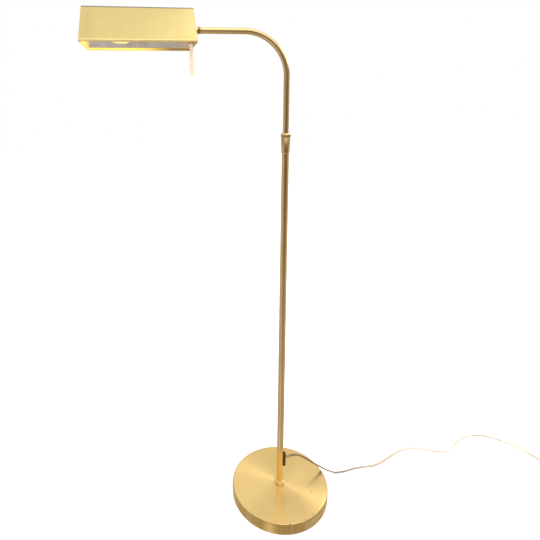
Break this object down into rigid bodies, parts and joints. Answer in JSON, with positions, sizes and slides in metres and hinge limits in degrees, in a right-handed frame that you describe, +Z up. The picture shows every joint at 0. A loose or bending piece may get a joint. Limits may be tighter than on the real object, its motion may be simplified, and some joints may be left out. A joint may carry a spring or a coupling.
{
  "type": "floor lamp",
  "caption": "Brass reading floor lamp: weighted round base, telescoping column with a clamp collar, bent swivelling arm and a tilting tent-shaped shade.",
  "frame": {"origin": "centre of the base's underside, on the floor", "axes": "+Z up along the column, the arm and shade reach out along -X, the lead leaves towards +X"},
  "size_m": [1.27, 0.2458, 1.166],
  "materials": {
    "felt": "pressed felt",
    "cast_iron": "rough cast",
    "base_brass": "spun and polished, lacquered",
    "tube_brass": "polished, slightly aged",
    "shade_brass": "satin brushed, lacquered",
    "turned_brass": "turned and polished",
    "zinc_steel": "zinc plated",
    "brown_plastic": "dark brown moulding",
    "relief_plastic": "soft amber moulding",
    "cord_plastic": "aged translucent flex",
    "guide_nylon": "nylon",
    "phenolic": "moulded phenolic",
    "bulb_glass": "frosted glass",
    "bulb_metal": "rolled thread",
    "ivory_plastic": "smooth ivory moulding",
    "friction_fibre": "pressed fibre",
    "tie_rubber": "soft band"
  },
  "bodies": {
    "column": {"base_felt": "felt", "base_weight": "cast_iron", "base_cover": "base_brass", "base_stud": "zinc_steel", "base_washer": "zinc_steel", "base_nut": "zinc_steel", "foot_bushing": "turned_brass", "foot_ring": "turned_brass", "lower_tube": "tube_brass", "cord_bush": "brown_plastic", "strain_relief": "relief_plastic", "lower_lead": "cord_plastic", "collar_sleeve": "turned_brass", "collet": "turned_brass", "cord_run": "cord_plastic", "cord_coil": "cord_plastic", "cord_tie": "tie_rubber", "cord_tail": "cord_plastic", "plug_body": "cord_plastic", "plug_pins": "zinc_steel"},
    "clamp_nut": {"clamp_ring": "turned_brass"},
    "slider": {"slide_bush": "guide_nylon"},
    "arm": {"arm_tube": "tube_brass", "retaining_ring": "turned_brass", "arm_lead": "cord_plastic", "arm_end_ring": "turned_brass", "swivel_stud": "zinc_steel", "friction_washer": "friction_fibre", "spring_washer": "zinc_steel", "swivel_nut": "zinc_steel"},
    "head": {"shade_shell": "shade_brass", "end_cap_column_side": "shade_brass", "end_cap_far_side": "shade_brass", "cap_boss": "turned_brass", "holder_bracket": "zinc_steel", "bracket_screws": "turned_brass", "holder_nipple": "zinc_steel", "holder_nut": "zinc_steel", "lamp_holder": "phenolic", "holder_ring": "turned_brass", "bulb_cap": "bulb_metal", "bulb_glass": "bulb_glass", "head_lead": "cord_plastic", "switch_housing": "turned_brass", "lever_pin": "zinc_steel"},
    "lever": {"switch_lever": "ivory_plastic"}
  },
  "joints": [
    {"name": "clamp_turn", "type": "hinge", "parent": "column", "child": "clamp_nut", "pos_m": [0, 0, 0.911], "axis": [0, 0, 1], "range_deg": [0, 270]},
    {"name": "height_slide", "type": "slide", "parent": "column", "child": "slider", "axis": [0, 0, 1], "range_m": [-0.11, 0.28]},
    {"name": "arm_swivel", "type": "hinge", "parent": "slider", "child": "arm", "pos_m": [0, 0, 0.5], "axis": [0, 0, 1], "range_deg": [-170, 170]},
    {"name": "shade_tilt", "type": "hinge", "parent": "arm", "child": "head", "pos_m": [-0.19, 0, 1.124], "axis": [-1, 0, 0], "range_deg": [-80, 80]},
    {"name": "switch_rock", "type": "hinge", "parent": "head", "child": "lever", "pos_m": [-0.1994, 0, 1.106], "axis": [0, 1, 0], "range_deg": [0, 12]}
  ]
}
